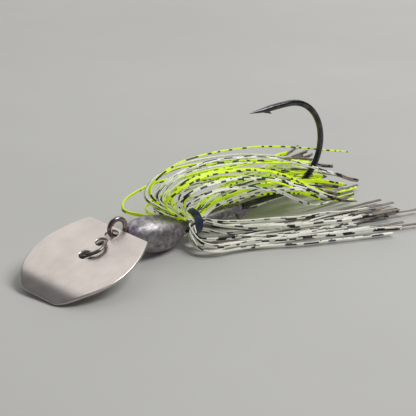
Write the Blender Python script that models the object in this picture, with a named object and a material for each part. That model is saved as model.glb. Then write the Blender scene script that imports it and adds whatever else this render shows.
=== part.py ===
"""Bladed (vibrating) jig lying on a table: pivoting nickel blade with its line snap,
lead egg head cast on a jig hook, and a thread-tied skirt of folded silicone strands.

Millimetres are used for every driving dimension and scaled to metres when meshes are made.
-X is the front (blade and line tie), +X the hook bend and skirt tail, +Z up, table at z = 0.
"""
import bisect
import math
import random

import bmesh
import bpy
import numpy as np
from mathutils import Matrix, Vector
from mathutils.kdtree import KDTree

MM = 0.001

# ---- hook -------------------------------------------------------------------
AXIS_Z = 4.2                 # height of the straight shank above the table
WIRE_R = 0.73                # hook wire radius
EYE_WIRE_R = 0.55            # the wire is drawn thinner round the eye
EYE_C = (-9.3, 4.15)         # eye ring centre, measured from the shank axis
EYE_R = 2.0                  # eye ring radius on the wire's centre line
EYE_OPEN_DEG = 283.0         # the ring's cut end stops short of the nose
BEND_C = (40.0, 10.95)       # centre of the round bend
BEND_R = 10.95
POINT_TIP = (27.9, 21.9)     # point of the hook
WIRE_SIDES = 12

# ---- lead casting -----------------------------------------------------------
HEAD_A = 8.4                 # half length of the egg
HEAD_R = 4.2                 # half thickness
HEAD_Z = 4.4                 # height of its middle
HEAD_PITCH = math.radians(9.7)
COLLAR_R = 1.34
COLLAR_END = 12.4
KEEPER_R = 1.62
KEEPER_END = 25.2
BARB_TIP = (25.0, -3.1)
CORE_GAP = 0.06              # play between wire and casting

# ---- thread wrap ------------------------------------------------------------
WRAP_X = (10.0, 12.0)
WRAP_R = (2.55, 2.88)

# ---- blade ------------------------------------------------------------------
BLADE_T = 0.70
BLADE_EDGE = 0.12            # chamfer round the sheet
BLADE_HALF = [(-2.2, 8.4), (0.6, 9.75), (3.5, 10.75), (6.0, 11.35), (8.4, 11.6), (10.6, 11.5),
              (12.8, 11.05), (14.9, 10.35), (16.8, 9.45), (18.5, 8.4), (20.0, 7.15),
              (21.2, 5.8), (22.0, 4.3)]
BLADE_BEND_AT = 16.6
BLADE_BEND_R = 9.0
BLADE_BEND = math.radians(21.0)
BLADE_YAW = math.radians(9.8)
BLADE_PITCH = math.radians(14.6)
BLADE_ROLL = math.radians(5.0)
BLADE_HOLE_DEG = 220.0       # where on the eye ring the blade hangs
PIVOT_HOLE_R = 1.40
SNAP_HOLE_R = 1.30
SNAP_HOLES = (3.1, 8.15)

# ---- line snap --------------------------------------------------------------
SNAP_WIRE_R = 0.40
SNAP_LEAN = math.radians(52.0)

# ---- skirt ------------------------------------------------------------------
STRAND_W = 0.66
STRAND_T = 0.27
TIED_W = 0.52                # a strand is squeezed where it is tied
TIED_T = 0.24
STRAND_LAYERS = (1.62, 1.96, 2.30)   # radii at which the three layers are tied
LAYER_COUNT = 17
SEED = 1
LOW_BED = 0.42               # height of a strand lying on the table
HIGH_BED = 0.80              # and of one lying on its neighbours
TIE_X = 11.0
STEP = 0.8                   # spacing of the points that keep strands apart
CLEAR = 0.84                 # distance kept between strand centre lines
TIED_CLEAR = 0.40            # and where they are bound together at the tie
HEAD_ROOM = 0.6              # room a centre line keeps from the egg,
KEEPER_ROOM = 2.25           # and its distance from the shank's axis beside the keeper,
SHANK_ROOM = 1.35            # beside the bare shank,
BARB_ROOM = 3.9              # under the keeper's barb,
WIRE_ROOM = WIRE_R + 0.75    # and from the middle of the hook's bent wire
RINGS = 32
# (layer, from, to): no strand of that layer is laid out between those angles, most of them low
# down, where there is little room between the collar and the table
SPARSE = ((0, 100.0, 108.0), (0, 125.0, 180.0), (1, -180.0, -85.0), (1, 99.0, 104.0),
          (1, 110.0, 180.0), (2, -140.0, -128.0))


def clear_scene():
    for ob in list(bpy.data.objects):
        bpy.data.objects.remove(ob, do_unlink=True)


def material(name, rgb, rough, metal=0.0):
    mat = bpy.data.materials.new(name)
    mat.use_nodes = True
    node = mat.node_tree.nodes["Principled BSDF"]
    node.inputs["Base Color"].default_value = (rgb[0], rgb[1], rgb[2], 1.0)
    node.inputs["Roughness"].default_value = rough
    node.inputs["Metallic"].default_value = metal
    return mat


def add_object(name, bm, mat, smooth=40.0):
    bmesh.ops.recalc_face_normals(bm, faces=bm.faces)
    mesh = bpy.data.meshes.new(name)
    bm.to_mesh(mesh)
    bm.free()
    ob = bpy.data.objects.new(name, mesh)
    bpy.context.scene.collection.objects.link(ob)
    mesh.materials.append(mat)
    for poly in mesh.polygons:
        poly.use_smooth = True
    mesh.set_sharp_from_angle(angle=math.radians(smooth))
    return ob


# ---- curves -----------------------------------------------------------------
def spline(points, step):
    """Smooth curve through the points (centripetal Catmull-Rom), sampled every `step`."""
    pts = [np.array(p, dtype=float) for p in points]
    pts = [2 * pts[0] - pts[1]] + pts + [2 * pts[-1] - pts[-2]]
    fine = []
    for i in range(1, len(pts) - 2):
        p0, p1, p2, p3 = pts[i - 1], pts[i], pts[i + 1], pts[i + 2]
        t0 = 0.0
        t1 = t0 + max(np.linalg.norm(p1 - p0), 1e-6) ** 0.5
        t2 = t1 + max(np.linalg.norm(p2 - p1), 1e-6) ** 0.5
        t3 = t2 + max(np.linalg.norm(p3 - p2), 1e-6) ** 0.5
        for k in range(24):
            t = t1 + (t2 - t1) * k / 24
            a1 = (t1 - t) / (t1 - t0) * p0 + (t - t0) / (t1 - t0) * p1
            a2 = (t2 - t) / (t2 - t1) * p1 + (t - t1) / (t2 - t1) * p2
            a3 = (t3 - t) / (t3 - t2) * p2 + (t - t2) / (t3 - t2) * p3
            b1 = (t2 - t) / (t2 - t0) * a1 + (t - t0) / (t2 - t0) * a2
            b2 = (t3 - t) / (t3 - t1) * a2 + (t - t1) / (t3 - t1) * a3
            fine.append((t2 - t) / (t2 - t1) * b1 + (t - t1) / (t2 - t1) * b2)
    fine.append(pts[-2])
    return resample(np.array(fine), step)


def arc_length(path):
    return np.concatenate([[0.0], np.cumsum(np.linalg.norm(np.diff(path, axis=0), axis=1))])


def resample(path, step):
    s = arc_length(path)
    n = max(int(round(s[-1] / step)), 2) + 1
    u = np.linspace(0.0, s[-1], n)
    return np.stack([np.interp(u, s, path[:, k]) for k in range(3)], axis=-1)


def sweep(path, radii, sides, tip=False):
    """Round wire along a path that lies in one plane (or nearly so), frames carried along."""
    path = [Vector(p) for p in path]
    tangents = []
    for i in range(len(path)):
        a = path[max(i - 1, 0)]
        b = path[min(i + 1, len(path) - 1)]
        tangents.append((b - a).normalized())
    side = tangents[0].cross(Vector((0.0, 1.0, 0.0)))
    if side.length < 0.1:
        side = tangents[0].cross(Vector((1.0, 0.0, 0.0)))
    side.normalize()
    bm = bmesh.new()
    rings = []
    for i, p in enumerate(path):
        t = tangents[i]
        side = (side - t * side.dot(t)).normalized()
        other = t.cross(side)
        ring = []
        for k in range(sides):
            ang = 2 * math.pi * (k + 0.5) / sides
            q = p + (side * math.cos(ang) + other * math.sin(ang)) * radii[i]
            ring.append(bm.verts.new(q * MM))
        rings.append(ring)
    for a, b in zip(rings, rings[1:]):
        for k in range(sides):
            bm.faces.new((a[k], a[(k + 1) % sides], b[(k + 1) % sides], b[k]))
    bm.faces.new(rings[0])
    if tip:
        point = bm.verts.new((path[-1] + tangents[-1] * 0.25) * MM)
        last = rings[-1]
        for k in range(sides):
            bm.faces.new((last[k], last[(k + 1) % sides], point))
    else:
        bm.faces.new(rings[-1])
    return bm


# ---- hook -------------------------------------------------------------------
def hook_path(step):
    """Centre line of the hook wire: cut end of the eye, ring, leg, shank, bend, point."""
    pts = []
    deg = EYE_OPEN_DEG
    while deg >= 0.0:
        a = math.radians(deg)
        pts.append((EYE_C[0] + EYE_R * math.cos(a), 0.0, EYE_C[1] + EYE_R * math.sin(a)))
        deg -= EYE_OPEN_DEG / 24
    pts += [(-7.15, 0.0, 2.9), (-6.35, 0.0, 1.65), (-4.9, 0.0, 0.65), (-2.8, 0.0, 0.12), (-0.5, 0.0, 0.0)]
    pts += [(8.0, 0.0, 0.0), (22.0, 0.0, 0.0), (36.0, 0.0, 0.0)]
    for k in range(13):
        a = math.radians(-90.0 + 14.5 * k)
        pts.append((BEND_C[0] + BEND_R * math.cos(a), 0.0, BEND_C[1] + BEND_R * math.sin(a)))
    pts += [(35.4, 0.0, 21.95), (31.6, 0.0, 21.85), (29.4, 0.0, 21.9), (POINT_TIP[0], 0.0, POINT_TIP[1])]
    path = spline(pts, step)
    path[:, 2] += AXIS_Z
    return path


def thin_out(path, max_turn, max_step):
    """Keep only the points a swept wire needs: close together in bends, far apart when straight."""
    keep = [0]
    turn = 0.0
    run = 0.0
    for i in range(1, len(path) - 1):
        a = path[i] - path[i - 1]
        b = path[i + 1] - path[i]
        run += np.linalg.norm(a)
        c = np.dot(a, b) / (np.linalg.norm(a) * np.linalg.norm(b))
        turn += math.acos(max(-1.0, min(1.0, c)))
        if turn > max_turn or run > max_step:
            keep.append(i)
            turn = 0.0
            run = 0.0
    keep.append(len(path) - 1)
    return path[keep]


def hook_radii(path, extra=0.0):
    s = arc_length(path)
    total = s[-1]
    radii = []
    for v in s:
        grow = min(max((v - 10.0) / 5.0, 0.0), 1.0)
        r = EYE_WIRE_R + (WIRE_R - EYE_WIRE_R) * grow
        left = total - v
        if left < 6.5:
            r = min(r, 0.05 + (WIRE_R - 0.05) * (left / 6.5) ** 0.7)
        radii.append(r + extra)
    return radii


def build_hook(mat):
    path = thin_out(hook_path(0.3), math.radians(13.0), 4.0)
    bm = sweep(path, hook_radii(path), WIRE_SIDES, tip=True)
    ob = add_object("hook", bm, mat, 50.0)
    # the barb: a thin wedge raised on the inside of the point, opening toward the bend
    wedge = bmesh.new()
    z = AXIS_Z + POINT_TIP[1]
    outline = [(30.3, z - 0.05), (33.5, z - 0.1), (34.5, z - 1.35)]
    for y in (-0.28, 0.28):
        for x, h in outline:
            wedge.verts.new((x * MM, y * MM, h * MM))
    wedge.verts.ensure_lookup_table()
    v = wedge.verts
    wedge.faces.new((v[0], v[1], v[2]))
    wedge.faces.new((v[3], v[4], v[5]))
    for a, b in ((0, 1), (1, 2), (2, 0)):
        wedge.faces.new((v[a], v[b], v[b + 3], v[a + 3]))
    boolean(ob, add_object("tmp_barb", wedge, mat), "UNION")
    return ob


def boolean(target, tool, op):
    mod = target.modifiers.new("cut", "BOOLEAN")
    mod.operation = op
    mod.solver = "EXACT"
    mod.object = tool
    deps = bpy.context.evaluated_depsgraph_get()
    mesh = bpy.data.meshes.new_from_object(target.evaluated_get(deps))
    target.modifiers.clear()
    old = target.data
    name = old.name
    target.data = mesh
    bpy.data.meshes.remove(old)
    mesh.name = name
    bpy.data.objects.remove(tool, do_unlink=True)


# ---- lead casting -----------------------------------------------------------
def lathe(profile, sides, origin, pitch=0.0):
    """Solid of revolution about local X; profile is (x, r) from front to back."""
    rot = Matrix.Rotation(pitch, 4, "Y")
    bm = bmesh.new()
    rings = []
    for x, r in profile:
        ring = []
        for k in range(sides):
            a = 2 * math.pi * (k + 0.5) / sides
            q = rot @ Vector((x, r * math.sin(a), r * math.cos(a)))
            ring.append(bm.verts.new((q + Vector(origin)) * MM))
        rings.append(ring)
    for a, b in zip(rings, rings[1:]):
        for k in range(sides):
            bm.faces.new((a[k], b[k], b[(k + 1) % sides], a[(k + 1) % sides]))
    bm.faces.new(rings[0])
    bm.faces.new(rings[-1])
    return bm


def build_casting(mat):
    egg = []
    for k in range(1, 26):
        a = math.pi * k / 26
        egg.append((-HEAD_A * math.cos(a), HEAD_R * math.sin(a)))
    ob = add_object("lead_head", lathe(egg, 40, (0.0, 0.0, HEAD_Z), HEAD_PITCH), mat, 40.0)
    stem = [(3.0, COLLAR_R), (COLLAR_END, COLLAR_R), (COLLAR_END + 0.35, KEEPER_R - 0.12),
            (COLLAR_END + 0.7, KEEPER_R), (16.0, KEEPER_R + 0.03), (19.5, 1.56), (22.5, 1.36),
            (24.4, 1.18), (KEEPER_END, 1.02)]
    boolean(ob, add_object("tmp_stem", lathe(stem, 28, (0.0, 0.0, AXIS_Z)), mat), "UNION")
    wedge = bmesh.new()
    outline = [(23.6, -0.35), (KEEPER_END - 0.25, -0.35), (28.3, -1.0), (28.1, -1.3), BARB_TIP, (24.75, -3.0)]
    for y in (-0.62, 0.62):
        for x, h in outline:
            wedge.verts.new((x * MM, y * MM, (AXIS_Z + h) * MM))
    wedge.verts.ensure_lookup_table()
    v = wedge.verts
    n = len(outline)
    wedge.faces.new([v[k] for k in range(n)])
    wedge.faces.new([v[n + k] for k in range(n)])
    for k in range(n):
        j = (k + 1) % n
        wedge.faces.new((v[k], v[j], v[n + j], v[n + k]))
    boolean(ob, add_object("tmp_wedge", wedge, mat), "UNION")
    path = thin_out(hook_path(0.3), math.radians(13.0), 4.0)
    radii = hook_radii(path, CORE_GAP)
    first = max(i for i, p in enumerate(path) if p[0] < -7.0 and p[2] > AXIS_Z + EYE_C[1] + 0.6)
    last = min(i for i, p in enumerate(path) if p[0] > 31.0)
    core = sweep(path[first:last], radii[first:last], WIRE_SIDES)
    boolean(ob, add_object("tmp_core", core, mat), "DIFFERENCE")
    for poly in ob.data.polygons:
        poly.use_smooth = True
    ob.data.set_sharp_from_angle(angle=math.radians(35.0))
    return ob


def build_wrap(mat):
    """Thread sleeve: rounded ends, a lightly barrelled outside, open bore."""
    x0, x1 = WRAP_X
    r0, r1 = WRAP_R
    section = [(x0, r0), (x1, r0), (x1 + 0.04, r0 + 0.14), (x1 - 0.2, r1 - 0.03),
               ((x0 + x1) / 2, r1), (x0 + 0.2, r1 - 0.03), (x0 - 0.04, r0 + 0.14)]
    sides = 36
    bm = bmesh.new()
    rings = []
    for k in range(sides):
        a = 2 * math.pi * k / sides
        ring = []
        for x, r in section:
            ring.append(bm.verts.new((x * MM, r * math.sin(a) * MM, (AXIS_Z + r * math.cos(a)) * MM)))
        rings.append(ring)
    n = len(section)
    for k in range(sides):
        a = rings[k]
        b = rings[(k + 1) % sides]
        for j in range(n):
            bm.faces.new((a[j], a[(j + 1) % n], b[(j + 1) % n], b[j]))
    return add_object("thread_wrap", bm, mat, 50.0)


# ---- blade ------------------------------------------------------------------
def blade_frame():
    """World matrix of the blade (mm): X along the blade to the front, Y across, Z out of its face."""
    level = math.cos(BLADE_PITCH)
    front = Vector((-math.cos(BLADE_YAW) * level, -math.sin(BLADE_YAW) * level, -math.sin(BLADE_PITCH)))
    across = Vector((math.sin(BLADE_YAW), -math.cos(BLADE_YAW), 0.0))
    normal = across.cross(front)
    if normal.z < 0:
        normal.negate()
    w = across * math.cos(BLADE_ROLL) - normal * math.sin(BLADE_ROLL)
    n = w.cross(front)
    if n.z < 0:
        n.negate()
    a = math.radians(BLADE_HOLE_DEG)
    hole = Vector((EYE_C[0] + EYE_R * math.cos(a), 0.0, AXIS_Z + EYE_C[1] + EYE_R * math.sin(a)))
    m = Matrix((front, w, n)).transposed().to_4x4()
    m.translation = hole
    return m


def on_blade(s, t, h):
    """Point of the bent sheet: s along, t across, h out of the middle surface."""
    if s <= BLADE_BEND_AT:
        return Vector((s, t, h))
    ang = min((s - BLADE_BEND_AT) / BLADE_BEND_R, BLADE_BEND)
    rest = s - BLADE_BEND_AT - BLADE_BEND_R * ang
    x = BLADE_BEND_AT + BLADE_BEND_R * math.sin(ang) + rest * math.cos(ang)
    z = -BLADE_BEND_R * (1 - math.cos(ang)) - rest * math.sin(ang)
    return Vector((x + h * math.sin(ang), t, z + h * math.cos(ang)))


def build_blade(mat):
    frame = blade_frame()
    bm = bmesh.new()
    layers = []
    face = BLADE_T / 2
    side = face - BLADE_EDGE
    for h, inset in ((-face, BLADE_EDGE), (-side, 0.0), (side, 0.0), (face, BLADE_EDGE)):
        rows = []
        for k, (s, half) in enumerate(BLADE_HALF):
            if k == 0:
                s += inset
            if k == len(BLADE_HALF) - 1:
                s -= inset
            row = []
            for j in range(9):
                t = (half - inset) * (-1 + j / 4)
                row.append(bm.verts.new((frame @ on_blade(s, t, h)) * MM))
            rows.append(row)
        layers.append(rows)
    for rows in (layers[0], layers[3]):
        for a, b in zip(rows, rows[1:]):
            for j in range(8):
                bm.faces.new((a[j], a[j + 1], b[j + 1], b[j]))
    rims = []
    for rows in layers:
        rim = [rows[0][j] for j in range(9)] + [r[8] for r in rows[1:]]
        rim += [rows[-1][j] for j in range(7, -1, -1)] + [r[0] for r in rows[-2:0:-1]]
        rims.append(rim)
    for a, b in zip(rims, rims[1:]):
        n = len(a)
        for k in range(n):
            bm.faces.new((a[k], a[(k + 1) % n], b[(k + 1) % n], b[k]))
    ob = add_object("blade", bm, mat, 30.0)
    for s, r in ((0.0, PIVOT_HOLE_R), (SNAP_HOLES[0], SNAP_HOLE_R), (SNAP_HOLES[1], SNAP_HOLE_R)):
        tool = bmesh.new()
        ends = []
        for h in (-1.0, 1.0):
            ring = []
            for k in range(28):
                a = 2 * math.pi * k / 28
                q = frame @ Vector((s + r * math.cos(a), r * math.sin(a), h))
                ring.append(tool.verts.new(q * MM))
            ends.append(ring)
        tool.faces.new(ends[0])
        tool.faces.new(ends[1])
        for k in range(28):
            j = (k + 1) % 28
            tool.faces.new((ends[0][k], ends[0][j], ends[1][j], ends[1][k]))
        boolean(ob, add_object("tmp_hole", tool, mat), "DIFFERENCE")
    for poly in ob.data.polygons:
        poly.use_smooth = True
    ob.data.set_sharp_from_angle(angle=math.radians(30.0))
    return ob


# ---- line snap --------------------------------------------------------------
def snap_path(step):
    """Wire of the snap: (along the blade, distance from the line through the holes, extra lean)."""
    s1, s2 = SNAP_HOLES
    mid = (s1 + s2) / 2
    flat = [(s2 + 2.4, -1.5, 0.0), (s2 + 1.35, -1.9, 0.0), (s2 + 0.25, -1.45, 0.0), (s2, 0.0, 0.0),
            (s2 - 0.1, 1.4, 5.0), (s2 - 1.1, 2.35, 11.0), (mid, 2.7, 14.0), (s1 + 1.1, 2.35, 11.0),
            (s1 + 0.1, 1.4, 5.0), (s1, 0.0, 0.0), (s1 + 0.1, -1.5, 0.0), (s1 + 1.2, -2.7, 0.0),
            (s1 + 3.2, -3.25, 0.0), (s2 + 1.0, -3.4, 0.0), (s2 + 4.0, -3.35, 0.0),
            (s2 + 5.7, -3.25, 0.0), (s2 + 6.35, -3.05, 0.0), (s2 + 6.72, -2.6, 0.0), (s2 + 6.72, -2.0, 0.0),
            (s2 + 6.35, -1.5, 0.0), (s2 + 5.7, -1.35, 0.0), (s2 + 4.5, -1.75, 0.0), (s2 + 3.3, -2.35, 0.0)]
    frame = blade_frame()
    pts = []
    for s, h, more in flat:
        lean = SNAP_LEAN + math.radians(more)
        pts.append(frame @ Vector((s, h * math.sin(lean), h * math.cos(lean))))
    return spline([tuple(p) for p in pts], step)


def build_snap(mat):
    path = thin_out(snap_path(0.2), math.radians(15.0), 3.0)
    bm = sweep(path, [SNAP_WIRE_R] * len(path), 10)
    return add_object("line_snap", bm, mat, 50.0)


# ---- skirt ------------------------------------------------------------------
SPREAD = ((-180.0, -148.0), (-150.0, -128.0), (-120.0, -104.0), (-60.0, -60.0), (0.0, -14.0),
          (40.0, 20.0), (62.0, 34.0), (63.0, 98.0), (100.0, 110.0), (135.0, 124.0), (180.0, 148.0))


def spread(deg):
    """Where round the hook a strand ends up, from where it is tied on the collar."""
    keys = [k for k, _ in SPREAD]
    i = min(max(bisect.bisect_right(keys, deg) - 1, 0), len(SPREAD) - 2)
    (a, b), (c, d) = SPREAD[i], SPREAD[i + 1]
    return b + (d - b) * (deg - a) / (c - a)


def polar(x, rho, deg, sag=0.0):
    """Point at radius rho and angle deg (0 up, + toward -Y) round the shank, sagging to the rear."""
    a = math.radians(deg)
    return (x, -rho * math.sin(a), AXIS_Z + rho * math.cos(a) - sag * 0.0048 * max(x - 12.0, 0.0) ** 2)


# How a strand is laid, by where it ends up round the shank. Radii are from the shank axis; a
# "+" column is added once for the middle layer and twice for the innermost, which folds outermost.
SHAPE_KEYS = ("deg", "r1", "r2", "r3", "r4", "r5", "sag", "reach", "reach+", "tall", "tall+",
              "mid", "mid+", "end", "end+", "lead", "lead+", "len", "len_var")
SHAPES = (
    (-180, 3.7, 5.4, 7.5, 9.5, 12, 0.8, 8.3, -0.35, 4.8, 1, 8.5, 1.8, 13, 2.5, 0.45, 0.35, 50, 12),
    (-140, 4.1, 6.3, 9, 12, 15, 0.8, 8.4, -0.65, 6, 1.4, 10, 2, 15, 2.8, 0.50, 0.40, 50, 12),
    (-100, 4.3, 7.2, 10.8, 14.5, 18, 0.8, 7.9, -1, 8.6, 1.9, 11.5, 2.2, 17, 3, 0.65, 0.50, 50, 14),
    (-60, 3.9, 6, 8, 10, 12, 0.8, 7, -1.4, 9.3, 1.8, 10.5, 1.8, 14, 1.5, 0.75, 0.60, 50, 16),
    (-12, 3.6, 5, 6.5, 7.6, 7.8, 1.2, 7.2, -3.4, 9.3, 1.8, 10.1, 1.8, 11.5, 1.4, 0.75, 0.60, 50, 16),
    (34, 3.6, 5, 6.5, 7.6, 8.5, 2.5, 7.2, -2.7, 9.3, 1.8, 11, 1.8, 18, 1.5, 0.75, 0.60, 48, 12),
    (64, 3.9, 6, 8.5, 11, 13, 1.7, 7.4, -1.6, 9, 1.8, 11.5, 2, 18.5, 2.5, 0.70, 0.55, 48, 12),
    (97, 4.4, 7.6, 12, 16.5, 20, 1, 8.1, -0.6, 8.6, 2.2, 13.5, 3.4, 20, 4.6, 0.50, 0.42, 42, 14),
    (118, 4.5, 7.8, 12.5, 17, 21, 0.8, 8.5, -0.65, 8.4, 2.2, 14, 3.6, 20, 5, 0.45, 0.40, 42, 14),
    (150, 4, 6.4, 9.5, 12.5, 15, 0.8, 8.5, -0.6, 6.2, 1.6, 10, 2.4, 15, 3.5, 0.45, 0.35, 48, 12),
    (180, 3.7, 5.4, 7.5, 9.5, 12, 0.8, 8.3, -0.35, 4.8, 1, 8.5, 1.8, 13, 2.5, 0.45, 0.35, 50, 12),
)


def shape_at(deg):
    degs = [row[0] for row in SHAPES]
    return {key: float(np.interp(deg, degs, [row[k] for row in SHAPES])) for k, key in enumerate(SHAPE_KEYS)}


def flung(layer, out_deg):
    """The one strand that reaches far out over the head."""
    return layer == 0 and -75.0 < out_deg < -50.0


def strand_controls(layer, r0, tie_deg, rng):
    """Control points rear tip -> collar -> fold -> front half's tip, and the collar's index."""
    out_deg = spread(tie_deg)
    shape = shape_at(out_deg)
    outer = 2 - layer
    up = max(math.cos(math.radians(out_deg)), 0.0)
    wob = rng.uniform(-1.0, 1.0)
    drift = rng.uniform(-1.0, 1.0)
    sag = rng.uniform(0.75, 1.25)
    # rear half, running back inside the folded half
    rear_len = 50.0 + 14.0 * rng.random()
    rear = []
    for f, key in ((1.0, "r5"), (0.72, "r4"), (0.45, "r3"), (0.25, "r2"), (0.11, "r1")):
        rho = shape[key] * (0.80 + 0.15 * layer) + 0.9 * wob * f
        deg = tie_deg + (out_deg - tie_deg) * min(0.3 + 5.0 * f, 1.0) - 12.0 * drift * f
        rear.append(polar(TIE_X + (rear_len - TIE_X) * f, rho, deg, 1.1 * sag * up))
    tie = [polar(TIE_X + 1.5, r0 + 0.12, tie_deg), polar(TIE_X, r0, tie_deg),
           polar(TIE_X - 1.3, r0 + 0.1, tie_deg)]
    # front half: forward of the tie, then folded back outside everything
    front_len = shape["len"] + shape["len_var"] * rng.random()
    reach = shape["reach"] + shape["reach+"] * outer + 0.5 * wob
    tall = shape["tall"] + shape["tall+"] * outer + 0.4 * wob
    mid = shape["mid"] + shape["mid+"] * outer + 0.8 * wob
    end = shape["end"] + shape["end+"] * outer + 2.0 * wob
    if flung(layer, out_deg):
        reach -= 6.5
    top_x = max(reach, 1.0) + 0.75 * tall
    mid_x = top_x + 0.42 * (front_len - top_x)
    fold = tall * 0.66
    lead = shape["lead"] + shape["lead+"] * outer
    front = [polar(TIE_X - 1.3 - lead, r0 + 0.85, tie_deg + 0.25 * (out_deg - tie_deg)),
             polar(reach, fold, out_deg),
             polar(reach + 0.16 * tall, tall * 0.86, out_deg),
             polar(top_x, tall + 0.5, out_deg, sag * shape["sag"]),
             polar(mid_x, mid, out_deg + 7.0 * drift, sag * shape["sag"]),
             polar(front_len, end, out_deg + 16.0 * drift, sag * shape["sag"])]
    return rear + tie + front, len(rear) + 1


def smooth_floor(z, floor):
    """Strands that would run below the table lie on it instead."""
    k = 0.9
    return floor + k * math.log1p(math.exp((z - floor) / k)) if z - floor < 12 * k else z


def strand_paths():
    rng = random.Random(SEED)
    strands = []
    for layer, r0 in enumerate(STRAND_LAYERS):
        for i in range(LAYER_COUNT):
            tie_deg = -180.0 + 360.0 * (i + 0.5 + layer / 3.0) / LAYER_COUNT
            if tie_deg > 180.0:
                tie_deg -= 360.0
            pts, tie = strand_controls(layer, r0, tie_deg, rng)
            out_deg = spread(tie_deg)
            if any(layer == k and a < out_deg < b for k, a, b in SPARSE):
                continue
            path = spline(pts, STEP / 2)
            bed = LOW_BED if i % 2 else HIGH_BED
            for p in path:
                away = np.linalg.norm(p - np.array(pts[tie]))
                lift = min(max((away - 2.0) / 6.0, 0.0), 1.0)
                p[2] = max(p[2] * (1 - lift) + smooth_floor(p[2], bed) * lift, LOW_BED)
            strands.append((layer, tie_deg, resample(path, STEP), pts[tie]))
    return strands


def part_strands(strands):
    """Push strands out of each other, the casting, the hook and the table; shapes stay smooth."""
    starts = [s[2] for s in strands]
    base = np.concatenate(starts)
    owner = np.concatenate([np.full(len(p), i) for i, p in enumerate(starts)])
    free = []
    need = []
    arm = []
    for layer, _deg, path, knot in strands:
        d = np.linalg.norm(path - np.array(knot), axis=1)
        k = int(np.argmin(d))
        s = np.abs(np.arange(len(path)) - k) * STEP
        free.append(np.clip((s - 1.7) / 4.5, 0.0, 1.0))
        need.append(TIED_CLEAR + (CLEAR - TIED_CLEAR) * np.clip((s - 4.5) / 7.0, 0.0, 1.0))
        arm.append(np.where(np.arange(len(path)) < k, 0, 1))
    free = np.concatenate(free)
    arm = np.concatenate(arm) + 2 * owner
    need = np.concatenate(need)
    hook = hook_path(0.8)
    hook_keep = hook[hook[:, 0] > 24.0]
    move = np.zeros_like(base)
    widths = (9, 7, 5)
    for step in range(90):
        pos = base + move
        tree = KDTree(len(pos))
        for i, p in enumerate(pos):
            tree.insert(p, i)
        tree.balance()
        push = np.zeros_like(base)
        hits = 0
        for i, p in enumerate(pos):
            if free[i] <= 0.0:
                continue
            for _co, j, d in tree.find_range(p, float(need[i])):
                if arm[j] == arm[i] or d < 1e-6:
                    continue
                short = min(need[i], need[j] + 0.1) - d
                if short > 0:
                    share = free[i] / (free[i] + free[j] + 1e-6)
                    push[i] += (p - pos[j]) / d * short * share
                    hits += 1
        # the egg of the head
        c, s = math.cos(HEAD_PITCH), math.sin(HEAD_PITCH)
        along = pos[:, 0] * c - (pos[:, 2] - HEAD_Z) * s
        upward = pos[:, 0] * s + (pos[:, 2] - HEAD_Z) * c
        long_r = HEAD_A + HEAD_ROOM
        round_r = HEAD_R + HEAD_ROOM
        q = np.sqrt((along / long_r) ** 2 + (pos[:, 1] / round_r) ** 2 + (upward / round_r) ** 2)
        inside = (q < 1.0) & (free > 0.0)
        grow = (1.0 / np.maximum(q, 0.2) - 1.0)[:, None]
        push += np.where(inside[:, None], (pos - np.array([0.0, 0.0, HEAD_Z])) * grow, 0.0)
        # the keeper, its barb and the bare shank behind them
        radial = pos - np.array([0.0, 0.0, AXIS_Z])
        radial[:, 0] = 0.0
        rho = np.linalg.norm(radial, axis=1)
        limit = np.where(pos[:, 0] < KEEPER_END + 1.0, KEEPER_ROOM, SHANK_ROOM)
        by_barb = (pos[:, 0] > 23.0) & (pos[:, 0] < 29.5) & (pos[:, 2] < AXIS_Z) & (np.abs(pos[:, 1]) < 1.3)
        limit = np.where(by_barb, BARB_ROOM, limit)
        close = (rho < limit) & (free > 0.3) & (pos[:, 0] > 12.6) & (pos[:, 0] < 44.0)
        away = radial / np.maximum(rho, 0.1)[:, None] * (limit - rho)[:, None]
        push += np.where(close[:, None], away, 0.0)
        # the wire of the bend
        for h in hook_keep:
            d = pos - h
            dist = np.linalg.norm(d, axis=1)
            away = d / np.maximum(dist, 0.1)[:, None] * (WIRE_ROOM - dist)[:, None]
            push += np.where((dist < WIRE_ROOM)[:, None], away, 0.0)
        push *= free[:, None]
        width = widths[min(step // 25, 2)]
        kernel = np.hanning(width + 2)[1:-1]
        new = move + push * 0.9
        done = 0
        for path in starts:
            n = len(path)
            for k in range(3):
                row = new[done:done + n, k]
                pad = np.pad(row, width // 2, mode="edge")
                blurred = np.convolve(pad, kernel / kernel.sum(), mode="valid")
                new[done:done + n, k] = 0.6 * row + 0.4 * blurred if step > 55 else blurred
            done += n
        move = new * np.minimum(free * 3.0, 1.0)[:, None]
        low = (base + move)[:, 2] < LOW_BED
        move[:, 2] = np.where(low & (free > 0.0), LOW_BED - base[:, 2], move[:, 2])
    print("strand contacts left:", hits)
    out = []
    done = 0
    for layer, deg, path, knot in strands:
        n = len(path)
        out.append((layer, deg, (base + move)[done:done + n], knot))
        done += n
    return out


def ribbon_rings(path, k_tie, count):
    """Indices of the rings kept: dense where the strand turns and close to where it is tied."""
    t = np.gradient(path, axis=0)
    t /= np.linalg.norm(t, axis=1)[:, None]
    turn = np.linalg.norm(np.gradient(t, axis=0), axis=1)
    knot = np.where(np.abs(np.arange(1, len(path)) - k_tie) * STEP < 6.5, 1.0, 0.0)
    cost = np.concatenate([[0.0], np.cumsum(0.35 + knot + 8.0 * 0.5 * (turn[1:] + turn[:-1]))])
    want = np.linspace(0.0, cost[-1], count)
    idx = np.interp(want, cost, np.arange(len(path)))
    return idx


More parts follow.
